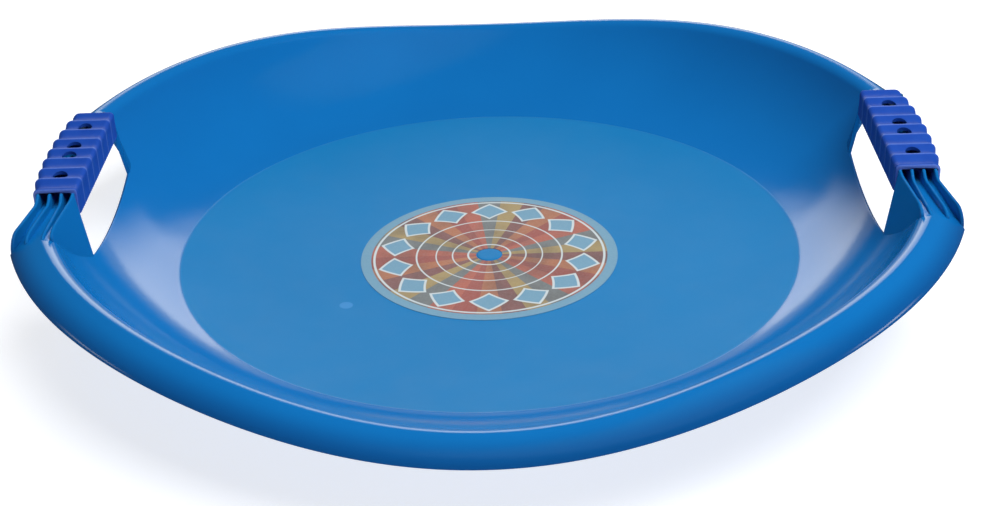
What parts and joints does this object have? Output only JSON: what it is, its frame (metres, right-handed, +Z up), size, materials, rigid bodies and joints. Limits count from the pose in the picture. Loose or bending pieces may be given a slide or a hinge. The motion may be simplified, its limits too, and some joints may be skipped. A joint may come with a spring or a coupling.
{
  "type": "saucer sled",
  "caption": "Round dished plastic saucer sled with a rolled lip, a hand window on each side and ridged grips pressed over ribbed handle bars.",
  "frame": {"origin": "on the ground under the middle of the sled", "axes": "+Z up, -Y to the front and +Y to the back of the sled, handles at -X (left) and +X (right)"},
  "size_m": [0.553, 0.5824, 0.0866],
  "materials": {
    "shell": "glossy moulded plastic, satin on the floor",
    "grip": "satin moulded plastic",
    "label": "printed plastic foil, semi-gloss"
  },
  "bodies": {
    "root": {"sled_shell": "shell", "left_grip": "grip", "right_grip": "grip", "label": "label"}
  },
  "joints": []
}
